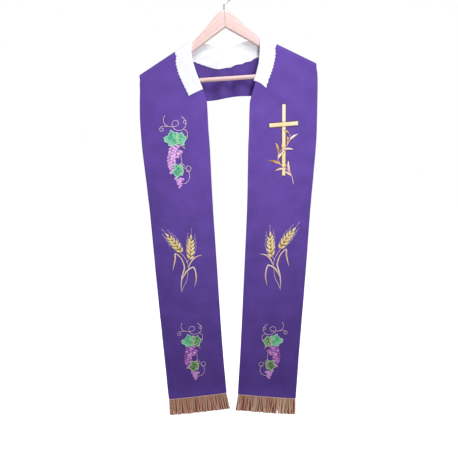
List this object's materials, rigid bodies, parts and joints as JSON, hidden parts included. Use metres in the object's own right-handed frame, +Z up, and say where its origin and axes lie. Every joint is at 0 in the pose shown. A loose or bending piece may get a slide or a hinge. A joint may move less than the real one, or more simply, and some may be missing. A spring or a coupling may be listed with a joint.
{
  "type": "clerical stole on a wooden coat hanger",
  "caption": "Embroidered fringed vestment stole with a white collar guard, folded over the arms of a wooden coat hanger with a trouser bar and a wire hook.",
  "frame": {"origin": "top of the inside of the hook's curve, where the rail bears", "axes": "+Z up, +X to the right for someone facing the fronts, +Y away from them, towards the back of the stole"},
  "size_m": [0.5076, 0.0398, 1.2549],
  "materials": {
    "purple_cloth": "matt plain-weave polyester",
    "white_cotton": "matt white cotton with a scalloped lace edge",
    "antique_gold_cord": "twisted rayon cord with a soft lustre",
    "embroidery_thread": "glossy satin-stitch thread in gold, green and violet",
    "beech": "clear satin varnish on pale wood",
    "steel": "bright zinc-plated wire"
  },
  "bodies": {
    "root": {"front_left": "purple_cloth", "front_right": "purple_cloth", "back_left": "purple_cloth", "back_right": "purple_cloth", "collar": "white_cotton", "fringe_left": "antique_gold_cord", "fringe_right": "antique_gold_cord", "hanger_arm_left": "beech", "hanger_arm_right": "beech", "hanger_bar": "beech", "hanger_hook": "steel"}
  },
  "joints": []
}
